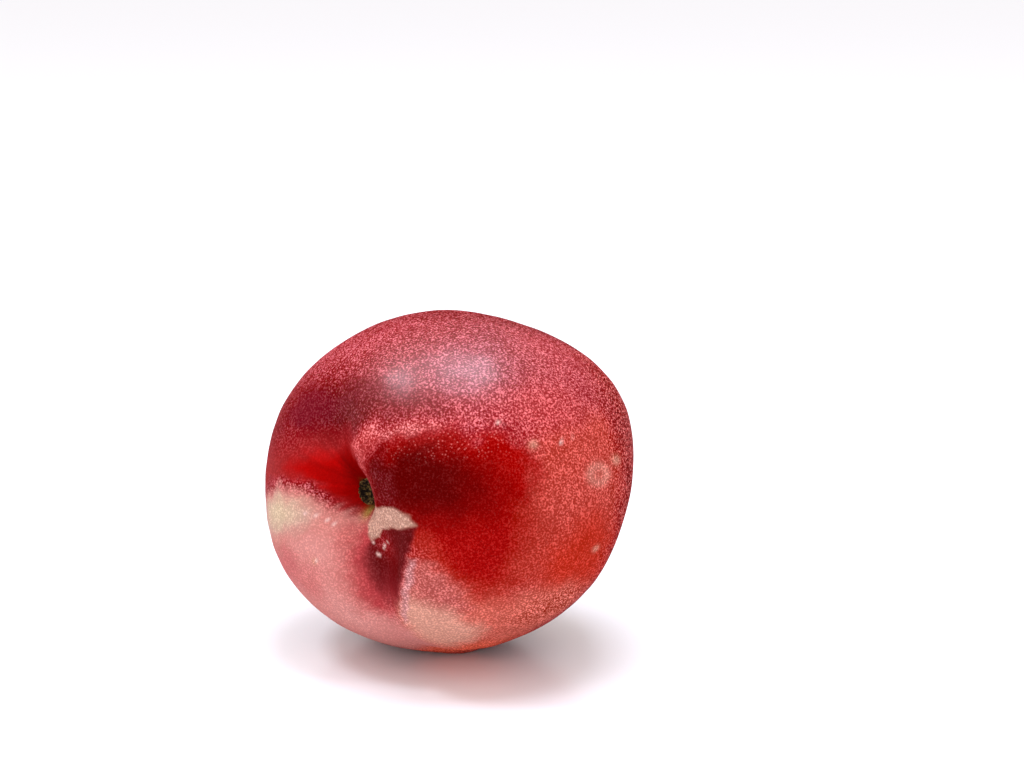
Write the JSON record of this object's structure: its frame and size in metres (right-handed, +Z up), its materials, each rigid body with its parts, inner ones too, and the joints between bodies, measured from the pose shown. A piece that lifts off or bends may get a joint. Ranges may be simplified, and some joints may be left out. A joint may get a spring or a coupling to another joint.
{
  "type": "nectarine",
  "caption": "Whole ripe nectarine lying on its side: round smooth-skinned stone fruit with a deep stem pit, a suture furrow and a small flat spot to rest on.",
  "frame": {"origin": "middle of the small flat spot that the fruit rests on", "axes": "+Z up, out of the surface it lies on; -Y is the side that the stem pit faces; +X is the cheek nearer to the camera in the picture"},
  "size_m": [0.0703, 0.062, 0.0637],
  "materials": {
    "skin": "semi-gloss fruit skin, crimson blush finely speckled over a cream ground",
    "scar": "rough, dry and fibrous"
  },
  "bodies": {
    "root": {"fruit": "skin", "stem_scar": "scar"}
  },
  "joints": []
}
